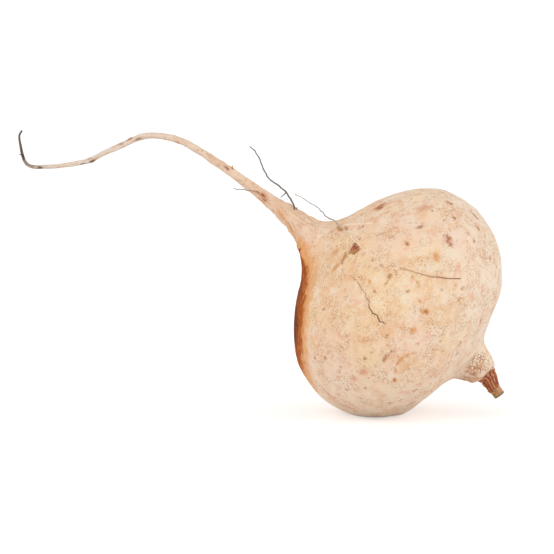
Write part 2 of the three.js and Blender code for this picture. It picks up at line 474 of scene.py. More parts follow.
def skin_material():
    g = material_graph("skin")
    grown = g.vector("unbent")
    place = g.vector("place")
    tail = g.value("tail")
    on_tail = g.step(tail, 0.0, 0.04)
    streak = g.noise(g.moved(grown, (0.16, 1, 1)), 1.3, 3, 0.6, 0.3)
    rough = g.noise(place, 1.4, 3, 0.65, 0.5)

    colour = skin_drifts(g, place)
    colour = mottled(g, colour, grown, place)
    colour = with_lenticels(g, colour, grown, place)
    colour = with_tail(g, colour, grown, tail, on_tail, streak)
    colour = with_marks(g, colour, rough)
    # Painted shade on the left flank and under the neck: a rust-brown shadow with warm reflected light.
    colour, flank_shaded = with_flank_shade(g, colour, place)
    colour, line = with_crackle(g, colour, grown, place, rough)
    tip = g.step(g.plus(tail, g.swing(rough, 0.12)), 0.82, 0.95, 0, 0.9)
    colour = g.mix(tip, colour, "55463a")

    height = g.plus(g.times(rough, 0.5), g.times(streak, on_tail))
    normal = g.bump(g.minus(height, g.times(line, 0.5)), SKIN_RELIEF, 0.6)
    dull = g.plus(g.step(rough, 0.3, 0.7, 0.52, 0.66), g.times(flank_shaded, 0.34))
    return matte(g, colour, dull, normal, SKIN_SPECULAR)


def stub_material():
    """Red-brown ridged bark, and the bare cut tip with its darker rim, with a painted highlight on the
    upper right and painted shade on the lower left.
    """
    g = material_graph("stub_bark")
    place = g.vector("place")
    ridge = g.value("ridge")
    # turn is 1 on the stub's lower left and 0 on its upper right: painted shade there, painted highlight
    # here.
    turn = g.step(g.value("turn"), -0.9, 0.6)
    grain = g.noise(place, 0.7, 3, 0.6)
    fibre = g.plus(ridge, g.swing(grain, 0.5))
    crest = g.mix(turn, "dfae98", "cf9662")
    rim = g.plus(g.value("rim"), g.swing(grain, 0.9))
    bark = g.layered("8e4830", [
        (fibre, 0.0, 0.45, 1.0, "c8825a"),
        (fibre, 0.5, 1.0, 0.75, crest),
        (g.noise(place, 2.4, 2), 0.46, 0.64, 0.5, "aa5c3a"),
        (g.noise(place, 1.7, 3, 0.6), 0.56, 0.7, 0.4, "763a26"),
    ])
    # The bare core is pinker on the upper right and darker on the lower left, as painted light.
    core = g.layered(g.mix(turn, "cf9e82", "a88456"), [
        (g.noise(place, 1.8, 3, 0.6), 0.44, 0.6, 0.8, "e0a268"),
        (grain, 0.52, 0.7, 0.7, "8a6a48"),
        (rim, 0.0, 0.6, 0.75, "8f8258"),
        (rim, 0.6, 1.1, 0.9, "4a4432"),
    ])
    colour = g.mix(g.value("bark"), core, bark)
    normal = g.bump(g.plus(ridge, grain), BARK_RELIEF, 0.8)
    return matte(g, colour, 0.78, normal, BARK_SPECULAR)


def strand_material(name, near, far, fleck):
    """A dried rootlet, from its foot's colour to its tip's."""
    g = material_graph(name)
    place = g.vector("place")
    colour = g.mix(g.step(g.value("share"), 0.2, 0.9), near, far)
    worn = g.noise(place, 1.3, 3, 0.6)
    colour = g.mix(g.step(worn, 0.48, 0.68, 0, 0.6), colour, fleck)
    normal = g.bump(g.noise(place, 0.4, 2), STRAND_RELIEF, 0.6)
    return matte(g, colour, 0.75, normal, BARK_SPECULAR)


# -------- marks on skin

# Stains and scars on the front, one by one: x, z, half length, half width, slant of the long
# side in degrees from level as seen from the front, and strength.
MARKS = {"orange": [
    (-80, 128, 3, 1.2, -38, 1.6), (-62, 110.4, 5, 1.7, -55, 0.8), (-57.4, 103.4, 5.2, 2, -58, 0.85),
    (-73, 118.4, 3.8, 1.1, -42, 0.9), (20, 91.7, 3, 1.9, 100, 1.1), (5, 98.8, 2.4, 1.4, 70, 0.8),
    (10.3, 77.8, 3.2, 1.3, 95, 0.8), (14.6, 64.2, 3.6, 1.7, 172, 1.1), (11.4, 68.6, 3, 1.2, 125, 0.7),
    (7.9, 54.2, 2, 2, 90, 1), (-15.2, 78.6, 3.6, 1, 112, 1.1), (-12.6, 74.8, 2, 0.9, 150, 0.7),
    (-18.6, 81, 4.5, 3, 60, 0.4), (-33, 92.4, 3.4, 2.2, 60, 0.8), (7.6, 41.6, 2.4, 0.8, 5, 1.1),
    (4.1, 41, 2.4, 1, 25, 1.1), (1.4, 38.5, 2.6, 1.1, 50, 1.1), (-0.4, 35.6, 2.2, 0.9, 60, 1),
    (-1.2, 31.8, 2.6, 0.9, 92, 1), (-2, 26.5, 2.2, 1.4, 92, 1), (-18.2, 48.8, 8, 3, 175, 0.55),
    (-18.4, 111.5, 3.6, 1, 90, 0.9), (-15.8, 111.5, 3.4, 0.9, 90, 0.8), (-28.5, 89.5, 6, 1.6, 60, 0.7),
    (-32.3, 85.4, 3.6, 1.8, 40, 1.1), (-9, 116, 5, 4.5, 25, 0.8), (-2.7, 118.2, 4, 1, 10, 0.8),
    (-3.9, 115.8, 4, 1, 5, 0.7), (-5.1, 113.6, 4, 1, 5, 0.8), (-0.3, 112.6, 3, 0.9, 5, 0.7),
    (-1.1, 106.5, 3.5, 1, 10, 0.7), (-80.5, 127.6, 2.6, 1.8, -38, 1.3), (-63, 111.5, 4.5, 1.3, -47, 0.9),
    (-57.5, 104.5, 5, 1.3, -57, 0.9), (-91, 136, 5.5, 2.6, -38, 1.3), (-119.3, 149.6, 1.5, 0.8, -20, 1.2),
    (42, 19, 3.6, 1.6, -8, 0.8), (44.9, 25, 2.2, 1.5, 60, 0.7), (46.2, 26.8, 3, 1.5, 60, 0.9),
    (47.6, 28.6, 2.4, 1.2, 30, 0.9),
], "brown": [
    (27, 101.6, 2.2, 1.8, 120, 1.1), (28, 98.6, 2.2, 1.1, 130, 1.1), (28.6, 105.5, 3, 0.8, 95, 0.7),
    (12, 107, 2.8, 1.3, 30, 0.9), (-4.8, 82.4, 1.7, 1.3, 80, 1), (-6.4, 78.7, 2.6, 0.9, 65, 0.9),
    (-12.6, 74.6, 1.8, 0.7, 155, 0.9), (5, 74, 1.5, 1.1, 20, 0.9), (-13.2, 89.8, 1.7, 1.1, 5, 1),
    (-9.1, 87.8, 1.3, 1, 0, 0.7), (-1.2, 85, 1.2, 0.9, 0, 0.7), (7.5, 82.1, 1, 1, 0, 0.7),
    (-9, 103, 2.8, 0.9, 15, 0.7), (28.7, 118.5, 2.6, 1.1, 155, 1.1), (30.8, 111.2, 1.1, 1.1, 0, 1.2),
    (18.9, 114.9, 1, 0.9, 0, 0.9), (30.7, 114.3, 1, 0.8, 0, 0.7), (4.9, 98.6, 1.8, 1.2, 70, 0.9),
    (-39, 63, 1.3, 1.1, 0, 0.9), (-39, 52, 1.3, 1.1, 0, 0.8), (-6.1, 51.7, 1.2, 1.1, 0, 1.1),
    (-7, 38.7, 2, 1.3, 30, 0.9), (-6.4, 40.2, 1.4, 1.2, 30, 0.9), (-3.9, 42.8, 1.6, 0.8, 20, 0.8),
    (-2, 26.4, 1.5, 0.8, 90, 1), (-16.6, 21.4, 1.3, 0.9, 0, 0.8), (-27.3, 19.8, 1.6, 0.9, 0, 0.8),
    (-17.5, 12.6, 2.4, 1, 0, 0.7), (-3.6, 12.4, 1.8, 1.1, 30, 0.8), (9.6, 19.2, 1.2, 1, 20, 0.9),
    (8.7, 11, 3.4, 0.8, 25, 0.9), (-18.2, 39, 1.2, 1.4, 0, 0.8), (14.9, 64, 2.2, 0.8, 168, 1),
    (-8.6, 116, 2.2, 1.8, 20, 1.3), (-7, 117.4, 2, 1.1, 30, 0.9), (-10.8, 114.8, 2, 1.2, 30, 0.9),
    (34, 45, 1, 1, 0, 0.8), (32.2, 38.6, 1.8, 0.9, 80, 0.9), (23, 75, 1.4, 1, 30, 0.7),
    (38.6, 102.6, 1.7, 0.8, 5, 1), (43, 111.4, 4, 0.8, -48, 1.4), (41.8, 99.2, 1, 2.2, 0, 0.8),
    (44.4, 105.2, 2.2, 0.9, 110, 0.8), (50.5, 88.6, 1.1, 1.6, 0, 0.8), (54.6, 83.6, 1.6, 0.8, 60, 0.7),
    (34.7, 74.6, 1.8, 1, 30, 0.8), (32.6, 69.5, 1.4, 1, 30, 0.8), (45.7, 71.5, 1.6, 0.7, 90, 0.6),
    (41.8, 65, 1.6, 0.8, 60, 0.7), (45.8, 56, 3, 0.8, 75, 0.7), (-26.2, 96, 3, 0.8, 70, 0.6),
    (-27.5, 92.4, 3, 1, 65, 0.5), (-28.8, 88.4, 2.4, 1.2, 60, 0.5), (-18, 105.9, 1.3, 1, 40, 1),
    (-20, 100, 1.8, 1.2, 90, 0.8), (-30.4, 104.7, 2.2, 0.9, 115, 1.1), (-29, 103.2, 1.8, 0.9, 0, 1),
    (-26.6, 104.4, 1.8, 0.9, 30, 0.9), (-90.5, 135.4, 3.4, 1.5, -38, 1.7),
    (-103.4, 142, 0.8, 1.8, -30, 1.2), (-165, 140.3, 2.2, 0.9, 20, 1.4),
    (-145.5, 151.4, 2.4, 0.9, 25, 1.3), (-71.6, 121, 2.2, 0.8, -60, 1.1), (-203, 145, 4, 1.2, 90, 1),
    (43.6, 22.9, 2.4, 1.1, -30, 1.1), (41.5, 23.6, 1.4, 0.8, -30, 0.8), (38.2, 19.8, 1.6, 1.6, 0, 0.8),
    (40, 21.4, 2, 1.2, 0, 0.8), (-44.3, 36.1, 1.1, 1, 0, 0.9), (-38.7, 37.2, 1.3, 1.1, 0, 0.9),
    (-30.8, 32.8, 1.3, 1.2, 0, 0.8), (-31.2, 29.8, 1.2, 1.1, 0, 0.8), (-23.6, 95, 4.4, 3.6, 0, 0.5),
    (-28.4, 90.6, 3.8, 2.4, 60, 0.5), (-3.6, 87.5, 4, 0.6, -8, 0.7),
], "rose": [
    (15.2, 116.2, 5, 3, 30, 0.9), (26, 123, 1.8, 1.2, 0, 0.9), (12.7, 122.5, 3, 0.9, 0, 1),
    (-19.1, 31.5, 2.8, 1.9, 20, 1.1), (-23.2, 27, 1.9, 1.5, 0, 1.1), (45, 54, 4, 1.2, 75, 0.6),
    (44, 105, 4, 1.5, 110, 0.5), (29, 51, 3.4, 2.2, 0, 0.5), (-25.8, 8.3, 2.7, 1.5, 150, 1),
    (18.6, 42.9, 1.5, 1, 0, 1), (9.9, 46.6, 1.5, 1, 0, 1), (13, 48.6, 3, 0.9, 20, 0.6),
    (44.6, 20.6, 4, 2.2, 5, 1), (40.4, 25.4, 3, 3, 0, 0.6), (36, 27, 9, 4.5, 35, 0.45),
    (3, 113, 6, 0.8, 5, 0.7), (6, 109, 5, 0.7, 0, 0.7), (28, 100, 4, 3, 125, 0.7),
    (-32, 55, 5, 1, 25, 0.5), (-28.6, 103.4, 4.2, 2.4, 150, 0.8), (-71.5, 121, 3.2, 1.6, -60, 1.2),
    (-73.5, 122, 3.6, 1, -35, 1.2), (-20, 105.5, 3, 1.6, 80, 0.9), (-18.4, 92.6, 3.4, 1, -20, 0.8),
    (-17.4, 96, 3, 0.8, -45, 0.8), (-36, 14.8, 6, 2, -45, 0.7), (-30, 9, 5, 1.6, -35, 0.6),
], "pale": [
    (20, 87, 5, 3.4, 30, 0.7), (-26, 56, 6, 4, 70, 0.5), (24, 76, 8, 3, 150, 0.5),
    (50.6, 31.4, 4, 3.6, 0, 1), (-12, 70, 7, 4, 100, 0.5), (-2, 92, 5, 3, 30, 0.3),
    (29, 93, 6, 4, 0, 0.8), (15, 97, 5, 4, 0, 0.5), (2, 71.5, 6, 4, 160, 0.6),
    (48.2, 36.9, 2.6, 1.6, -60, 0.8), (44, 34, 10, 8, 60, 0.6),
], "dark": [
    (-22.3, 95.2, 2.6, 2.3, 0, 1.2), (-24.6, 93.6, 1.7, 1.1, 10, 1.1), (-20.6, 94.6, 1.5, 1.2, 0, 1),
    (-22.6, 97.2, 1.7, 1.3, 0, 1), (-92, 136, 2.4, 1, -38, 0.9), (-71.6, 120.4, 2.4, 0.8, -60, 1.7),
    (-74, 122.2, 2.6, 0.6, -35, 1.2), (-8.6, 115.6, 2, 1.5, 30, 1.1),
], "umber": [
    (-145.2, 151.6, 2.6, 1, 25, 1.1), (-140.5, 151.8, 2.2, 1, 20, 0.7), (-149.6, 149, 2, 0.9, 28, 0.7),
    (-165.6, 139.8, 2.4, 0.9, 20, 1.3), (-171.1, 138.1, 2.2, 0.8, 12, 1), (-180, 136.8, 2, 0.7, 3, 0.7),
    (-184.5, 137.7, 1.8, 0.7, 0, 0.9), (-193.4, 136.6, 3, 0.8, -5, 1.1),
    (-203.9, 143, 3.6, 1.6, 100, 1.2), (-104, 143.2, 1.2, 1, -30, 0.8),
    (-91.4, 135.4, 1.8, 0.9, -38, 0.9),
]}
# On the back, the same kinds of marks lie at random: kind, how many, and strength. They lie behind
# a y and beyond a distance along the root. Half widths are shares of the half lengths.
BACK_MARKS = [("orange", 26, 0.7), ("brown", 50, 0.7), ("rose", 16, 0.6), ("pale", 14, 0.5)]
BACK_BEHIND = 2
BACK_BEYOND = 12
BACK_LENGTHS = (0.9, 3.0)
BACK_WIDTHS = (0.35, 0.8)
BACK_STRENGTHS = (0.7, 1.1)

# The painted shade, a shadow with warm light reflected from a neighbouring root, lies just inside the
# body's left outline as seen from the front: how far inwards it reaches, the heights where it starts,
# is widest and ends, and where it is darkest. Round the back it fades over a range of y, in patches that
# shift its edge and thin it out.
OUTLINE_LEVELS = np.arange(0, 100, 1.5)
OUTLINE_BAND = 1.2
FLANK_SHADE_REACH = 8.6
FLANK_SHADE_HEIGHTS = (0, 26, 82, 92)
FLANK_SHADE_DARKEST = 50
FLANK_SHADE_DARK_REACH = 20
FLANK_SHADE_FOOT = (12, 40)
FLANK_SHADE_LEAST = 0.45
FLANK_SHADE_MORE_ABOVE_FOOT = 0.45
FLANK_SHADE_MORE_AT_DARKEST = 0.3
FLANK_SHADE_BACK_EDGE = (-12, 30)
FLANK_SHADE_BACK_STARTS = (-12, 10)
FLANK_SHADE_PATCH = 15
FLANK_SHADE_PATCH_EDGE = (-0.4, 0.4)
FLANK_SHADE_SHIFT = 16
FLANK_SHADE_THINNED = 0.45
# How strong the painted shade is on the underside of the neck, with warm reflected light in it.
NECK_SHADE_STRENGTH = 0.42

# Broad tints, each between where it is nothing and where it is full: in x, in z, or along the root.
# Painted light: the skin is paler towards the right, the top and the foot.
PAINTED_LIGHT_RIGHT = (14, 52)
PAINTED_LIGHT_TOP = (108, 126)
PAINTED_LIGHT_FOOT = (40, 10)
WARM_LEFT = (8, -42)
WARM_ABOVE = (30, 60)
WARM_ENDS = (114, 126)
# Where the painted shade under the neck starts and where it ends, along the root.
NECK_SHADE_STARTS = (105, 113)
NECK_SHADE_ENDS = (122, 140)

# Places on the front, as x and z, with the half length and half width of the crackled patch, and
# how rosy the furrows are.
SCAR = (-22.3, 95.3)
CROWN_BULGE = (50.6, 31.4)
CRACKLE = (45.4, 29.4)
CRACKLE_SIZE = (9.0, 7.5)
FURROW_TINT = 0.6
FURROW_TINT_WIDTH = 0.8
FURROWS = [
    [(30.4, 40.9), (28.6, 34), (26.3, 29.6), (23.2, 26.3)],
    [(28.4, 40), (26.2, 33.6), (23.8, 29.3), (21.2, 26.8)],
]
NECK_RIDGES = [[(-32, 104.7), (-29.6, 103.4), (-26, 103)], [(-29.6, 103.4), (-28.5, 105.6)]]
TAPROOT_NODULES = [(-89, 136), (-103.4, 144.6), (-145.5, 152), (-165.8, 139.4), (-119, 149.4)]

# Hills and hollows: place, height, half length and half width. Then the furrows and ridges: line,
# height and half width.
HILLS = [(SCAR, 0.35, 6, 5), (SCAR, -1.0, 3.4, 2.8), (CROWN_BULGE, 0.3, 4, 4)]
HILLS += [(nodule, 0.5, 1.5, 1.2) for nodule in TAPROOT_NODULES]
CREASES = [(furrow, -0.4, 0.9) for furrow in FURROWS] + [(ridge, 0.4, 1.1) for ridge in NECK_RIDGES]

# The stretches of the root, in mm from the crown: where each one starts and where it is full.
BODY_STARTS = (6, 16)
KNOB_ENDS = (10, 20)
NECK_STARTS = (98, 112)
BODY_ENDS = (112, 126)
TAPROOT_STARTS = (118, 135)

# How many mm nearer to the front weigh as much as 1 square mm of distance from x and z.
DEPTH_PER_SQUARE = 250


def on_front(places, x, z):
    """The place on the front of the root that is nearest to x and z."""
    away = (places[:, 0] - x) ** 2 + (places[:, 2] - z) ** 2 + places[:, 1] / DEPTH_PER_SQUARE
    return places[away.argmin()]


def bump_at(places, centre, length, width, slant):
    """A soft oval hill of height 1 at centre, with its long side slanted in the front view."""
    slope = math.radians(slant)
    axis = np.array([math.cos(slope), 0, math.sin(slope)])
    away = places - np.array(centre, float)
    along = away @ axis
    across = np.maximum((away**2).sum(axis=1) - along**2, 0)
    return np.exp(-((along / length) ** 2) - across / width**2)


def distance_to(places, points):
    """How far each place is from a broken line of points."""
    nearest = np.full(len(places), np.inf)
    for start, end in zip(np.array(points[:-1], float), np.array(points[1:], float)):
        leg = end - start
        share = np.clip((places - start) @ leg / (leg @ leg), 0, 1)
        nearest = np.minimum(nearest, np.linalg.norm(places - start - share[:, None] * leg, axis=1))
    return nearest


def stripe(places, points, width):
    """A soft stripe of height 1 along a broken line of points on the front, given as x and z."""
    line = [on_front(places, *point) for point in points]
    return hill(distance_to(places, line) / width)


def back_marks(places, along, rng):
    """Random marks on the half of the body that faces away from the camera."""
    on_body = (along > BACK_BEYOND) & (along < BODY_LENGTH)
    behind = np.flatnonzero(on_body & (places[:, 1] > BACK_BEHIND))
    for kind, count, most in BACK_MARKS:
        for centre in places[rng.choice(behind, count)]:
            length = rng.uniform(*BACK_LENGTHS)
            width = length * rng.uniform(*BACK_WIDTHS)
            slant = rng.uniform(0, 180)
            yield kind, (centre, length, width, slant, most * rng.uniform(*BACK_STRENGTHS))


def flank_shade(places, along):
    """The painted shade along the body's left side, a rust-brown shadow with warm light reflected
    from a neighbouring root: strongest at the outline, 0 where it ends.
    """
    x, y, z = places.T
    body = places[along < BODY_LENGTH + 4]
    slices = [body[np.abs(body[:, 2] - level) < OUTLINE_BAND] for level in OUTLINE_LEVELS]
    inwards = x - np.interp(z, OUTLINE_LEVELS, [part[:, 0].min() for part in slices])
    lowest, low, high, highest = FLANK_SHADE_HEIGHTS
    upright = smooth(z, lowest, low) * (1 - smooth(z, high, highest))
    share = np.clip(1 - inwards / np.maximum(FLANK_SHADE_REACH * upright, 0.1), 0, 1)
    darkest = hill((z - FLANK_SHADE_DARKEST) / FLANK_SHADE_DARK_REACH)
    strength = FLANK_SHADE_LEAST + FLANK_SHADE_MORE_ABOVE_FOOT * smooth(z, *FLANK_SHADE_FOOT)
    strength += FLANK_SHADE_MORE_AT_DARKEST * darkest
    patches = ripple(places, FLANK_SHADE_PATCH, 3)
    fade = 1 - smooth(y + FLANK_SHADE_SHIFT * patches, *FLANK_SHADE_BACK_EDGE)
    thinned = FLANK_SHADE_THINNED * smooth(y, *FLANK_SHADE_BACK_STARTS) * smooth(patches, *FLANK_SHADE_PATCH_EDGE)
    return share * (upright > 0) * fade * (1 - thinned) * strength


def marked(places, along, rng):
    """How strongly each kind of mark covers each vertex."""
    marks = [
        (kind, (on_front(places, x, z), *form))
        for kind, listed in MARKS.items() for x, z, *form in listed
    ]
    marks.extend(back_marks(places, along, rng))
    values = {kind: np.zeros(len(places)) for kind in MARKS}
    for kind, (centre, length, width, slant, strength) in marks:
        spot = strength * bump_at(places, centre, length, width, slant)
        values[kind] = np.maximum(values[kind], spot)
    for furrow in FURROWS:
        tint = FURROW_TINT * stripe(places, furrow, FURROW_TINT_WIDTH)
        values["rose"] = np.maximum(values["rose"], tint)
    return values


def tinted(places, unbent, radius):
    """How strongly the painted shade, the crackle, the painted light and the warm tint cover each vertex.
    """
    x, _, z = places.T
    along = unbent[:, 0]
    # Painted shade under the neck: its lower side is darker.
    lower_side = smooth(-unbent[:, 1] / radius, 0.1, 0.95)
    neck = smooth(along, *NECK_SHADE_STARTS) * (1 - smooth(along, *NECK_SHADE_ENDS))
    neck_shade = NECK_SHADE_STRENGTH * lower_side * neck
    crackle = bump_at(places, on_front(places, *CRACKLE), *CRACKLE_SIZE, 0)
    # Painted light, paler on the right, at the top and at the foot.
    painted_light = smooth(x, *PAINTED_LIGHT_RIGHT) + 0.5 * smooth(z, *PAINTED_LIGHT_TOP) + 0.9 * smooth(z, *PAINTED_LIGHT_FOOT)
    warm = smooth(x, *WARM_LEFT) * smooth(z, *WARM_ABOVE) * (1 - smooth(along, *WARM_ENDS))
    return {
        # Painted shade: the flank's shadow, and the shade under the neck.
        "painted_shade": np.maximum(flank_shade(places, along), neck_shade),
        "crackle": smooth(crackle, 0.2, 0.7),
        "painted_light": np.clip(painted_light, 0, 1),
        "warm": warm,
    }


def relief(places, unbent, radius):
    """How far the skin stands proud of its plain shape, in millimetres."""
    along = unbent[:, 0]
    body = smooth(along, *BODY_STARTS) * (1 - smooth(along, *BODY_ENDS))
    neck = smooth(along, *NECK_STARTS)
    taproot = smooth(along, *TAPROOT_STARTS)
    knob = 1 - smooth(along, *KNOB_ENDS)
    streaked = unbent * (0.2, 1, 1)
    dense = unbent * (0.5, 2, 2)

    # Waves: their height where they lie, what they run in, and their size.
    waves = [
        (0.35 * body, places, 26),
        (0.08, places, 7),
        (0.04, places, 2.2),
        (0.25 * knob, streaked, 4),
        (0.22 * neck * (1 - taproot), streaked, 5),
        (0.16 * taproot * radius, dense, 3.5),
    ]
    height = sum(rise * ripple(run, size, 2) for rise, run, size in waves)
    for place, rise, length, width in HILLS:
        height += rise * bump_at(places, on_front(places, *place), length, width, 0)
    for points, rise, width in CREASES:
        height += rise * stripe(places, points, width)
    return height


# -------- skin

def skin_rings():
    """Ring positions along the root, and the number of sides that suits each ring's girth."""
    girth = Line(GIRTH)
    stations = girth.at(np.linspace(0, girth.length, round(girth.length / RING_STEP) + 1))
    sides = []
    for radius in stations[:, 1]:
        count = MOST_SIDES
        while radius < BROAD * count / MOST_SIDES and count > FEWEST_SIDES:
            count //= 2
        sides.append(count)
    return stations, sides


def skin_places(stations, sides):
    """The plain shape of the root, as the CAD part has it, and its straightened coordinates."""
    spine = Line(SPINE)
    station = np.repeat(np.arange(len(sides)), sides)
    angle = np.concatenate([np.arange(count) * 2 * math.pi / count for count in sides])
    along, radius, lean = stations[station].T
    _, up, front = spine.axes(along)
    stout = np.clip((radius - THIN) / (STOUT - THIN), 0, 1)
    share = np.minimum(1, along / BODY_LENGTH)
    lobe = LOBE_AT_CROWN + (LOBE_AT_NECK - LOBE_AT_CROWN) * share
    reach = radius * (1 + stout * lobe * np.sin(LOBES * angle)) + lean * np.cos(angle)
    depth = 1 - stout * (FLATTENING + FULLER_BELOW * np.cos(angle))
    upward = reach * np.cos(angle)
    forward = reach * np.sin(angle) * depth
    places = spine.at(along) + upward[:, None] * up + forward[:, None] * front
    sag = FOOT_BULGE * hill(np.hypot(places[:, 0] - FOOT_X, places[:, 1]) / FOOT_WIDTH)
    places[:, 2] -= np.where(places[:, 2] < FOOT_WIDTH, sag, 0)
    unbent = np.stack([along, upward, forward], axis=1)
    return places, unbent, radius


def skin(rng):
    stations, sides = skin_rings()
    places, unbent, radius = skin_places(stations, sides)
    length = stations[-1, 0]
    ends = Line(SPINE).at(np.array([0.0, length]))
    closed, faces = capped(places, sides, ring_faces(sides), ends)
    faces = turned(faces)
    normals = vertex_normals(closed, faces)[:len(places)]
    along = unbent[:, 0]
    values = {
        **marked(places, along, rng),
        **tinted(places, unbent, radius),
        "tail": np.clip((along - BODY_LENGTH) / (length - BODY_LENGTH), 0, 1),
    }
    places = places + normals * relief(places, unbent, radius)[:, None]
    places[:, 2] = np.maximum(places[:, 2], 0)
    places = np.vstack([places, ends])
    unbent = np.vstack([unbent, [0, 0, 0], [length, 0, 0]])
    values = {key: np.append(value, value[[0, -1]]) for key, value in values.items()}
    values.update(unbent=unbent, place=places)
    made = piece("tuber_skin", places, faces, skin_material(), values)
    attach(made, "root")
    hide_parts("tuber")
    return BVHTree.FromObject(made, bpy.context.evaluated_depsgraph_get())


# -------- strands

OUTSIDE = 300
# How long a strand's kinks are, and how long and how deep its knobs.
KINK_LENGTH = 2.6
KNOB_LENGTH = 2.1
KNOB_DEPTH = 0.16


def on_skin(tree, x, z, lift, back=False):
    """The place that lies lift above the skin, seen along Y at x and z from well outside."""
    away = 1 if back else -1
    start = Vector((x, away * OUTSIDE, z)) * MM
    hit, normal, _, _ = tree.ray_cast(start, Vector((0, -away, 0)))
    return np.array(hit) / MM + np.array(normal) * lift


def route_places(tree, route, lift, back=False):
    """A route's points in space: those given as x and z alone lie on the skin, as does the line
    between two of them."""
    places = []
    for k, point in enumerate(route):
        last = route[k - 1] if k else None
        if last is not None and len(last) == 2 and len(point) == 2:
            for share in (0.25, 0.5, 0.75):
                x, z = (last[i] + (point[i] - last[i]) * share for i in (0, 1))
                places.append(on_skin(tree, x, z, lift, back))
        lies = len(point) == 2
        places.append(on_skin(tree, *point, lift, back) if lies else np.array(point, float))
    return places


def tube_rings(centres, ahead, radii, sides):
    """Rings round a line of centres, each turned as little as may be from the one before."""
    angle = np.arange(sides) * 2 * math.pi / sides
    across = np.cross(ahead[0], (0.3, 0.2, 1.0))
    rings = []
    for centre, forward, radius in zip(centres, ahead, radii):
        across = unit(across - forward * (across @ forward))
        other = np.cross(forward, across)
        circle = np.outer(np.cos(angle), across) + np.outer(np.sin(angle), other)
        rings.append(centre + radius * circle)
    return np.vstack(rings)


def strand(name, places, girths, material, sides=10, step=0.5, kinks=0.0):
    """A limb along a line of places. Its girths are radii spread evenly from its foot to its tip,
    and its kinks are how far it strays from its line."""
    line = Line(places)
    count = max(8, round(line.length / step))
    along = np.linspace(0, line.length, count + 1)
    share = along / line.length
    centres = line.at(along)
    if kinks:
        centres[:, 0] += kinks * ripple(centres, KINK_LENGTH, 3)
        centres[:, 2] += kinks * ripple(centres + 50, KINK_LENGTH, 3)
    knobs = ripple(np.stack([along, *(3 * centres[:, (0, 2)].T)], axis=1), KNOB_LENGTH, 2)
    radii = np.interp(share, np.linspace(0, 1, len(girths)), girths) * (1 + KNOB_DEPTH * knobs)
    rings = tube_rings(centres, line.ahead(along, 0.2), radii, sides)
    ring_sides = [sides] * (count + 1)
    places, faces = capped(rings, ring_sides, ring_faces(ring_sides), centres[[0, -1]])
    share = np.concatenate([np.repeat(share, sides), [0, 1]])
    return piece(name, places, faces, material, {"share": share, "place": places})


NECK_ROUTE = [
    (-54.7, -1.5, 113.2), (-55.2, -4.5, 116), (-57.8, -5, 120.9), (-62.4, -6, 126), (-68.2, -7, 130.2),
    (-72, -8, 136.5), (-75, -9, 143.8), (-79.3, -10, 148.6),
]
FORK_ROUTE = [(-59.4, -5.4, 122.8), (-61, -5.8, 121.4), (-62.4, -6, 120.2)]
TAIL_ROUTE = [
    (-69.3, 118), (-73.2, 121), (-76.5, 122.9), (-81.2, -3.8, 124.2), (-84.7, -4.6, 124.5),
    (-88.1, -6, 125.2),
]
SHOULDER_ROUTE = [
    (-16.8, 93), (-19.3, 96.6), (-21.8, 100.1), (-26.5, 102.9), (-29.5, 104.4), (-33.2, -10.5, 107.8),
    (-37.2, -10.5, 110.2), (-43, -11.5, 115.6), (-48, -12, 118.9), (-54.6, -12, 122.9),
]
STRAIGHT_ROUTE = [(0.7, 86.5), (8.6, 84.4), (16.9, 81.9), (27.8, 80.4), (33.4, 80.1)]
BENT_ROUTE = [
    (-25.4, 81.4), (-24.4, 81.2), (-23.4, 80.4), (-22.6, 79), (-21.2, 78.3), (-20.4, 76.6),
    (-18.2, 74.4), (-17, 71.6), (-16, 70), (-15.6, 67), (-15, 64.8), (-13.8, 62.9), (-12, 62.5),
    (-11.2, 60.9), (-10.1, 60.1), (-9.6, 58.6), (-7.9, 57.2),
]
SCAR_ROUTE = [(-27.3, 94.5), (-28.1, 90.5), (-30, 85.9), (-29, 83.1)]
BACK_UPPER_ROUTE = [(-24, 92), (-16, 88.6), (-7, 87), (1, 83), (9, 81.5)]
BACK_LOWER_ROUTE = [(24, 62), (17, 58), (13, 50), (5, 46)]

# The rootlets of the CAD part: node, route, girths, look, whether it lies on the back, and kinks.
ROOTLETS = [
    ("rootlet_neck", NECK_ROUTE, (0.52, 0.46, 0.42, 0.32), "dark", False, 0.4),
    ("rootlet_tail", TAIL_ROUTE, (0.45, 0.35, 0.2), "tail", False, 0.4),
    ("rootlet_shoulder", SHOULDER_ROUTE, (0.3, 0.42, 0.4, 0.42, 0.22, 0.18), "pale", False, 0.5),
    ("rootlet_front_straight", STRAIGHT_ROUTE, (0.16, 0.22, 0.26, 0.24), "tan", False, 0.3),
    ("rootlet_front_bent", BENT_ROUTE, (0.14, 0.2, 0.17, 0.12, 0.22, 0.26, 0.2), "umber", False, 1.1),
    ("rootlet_scar", SCAR_ROUTE, (0.18, 0.2, 0.14), "rust", False, 1.4),
    ("rootlet_back_upper", BACK_UPPER_ROUTE, (0.45, 0.35, 0.25), "tan", True, 0.5),
    ("rootlet_back_lower", BACK_LOWER_ROUTE, (0.45, 0.35, 0.25), "umber", True, 0.9),
]
# How far above the skin the middle of such a rootlet lies.
LIFT = 0.25
# The strands' looks: colour at the foot, at the tip, and of the flecks, and the slot whose piece its
# fibres join.
LOOKS = {
    "dark": ("76695f", "8d867f", "978b80", "dark_strand"),
    "tail": ("d9a888", "8b857c", "c09c82", "pale_strand"),
    "pale": ("fbe3c6", "6f6862", "d9b89c", "pale_strand"),
    "tan": ("cfa680", "98714e", "ad8660", "pale_strand"),
    "umber": ("cc9468", "6e4218", "a07044", "pale_strand"),
    "rust": ("c99264", "d09c66", "a87650", "pale_strand"),
    "cream": ("fff2e0", "fce4c8", "f2d0b0", "pale_strand"),
    "russet": ("a85c40", "cb8c66", "c08460", "dark_strand"),
    "burnt": ("5c3a2c", "8a5a44", "6e4838", "dark_strand"),
}
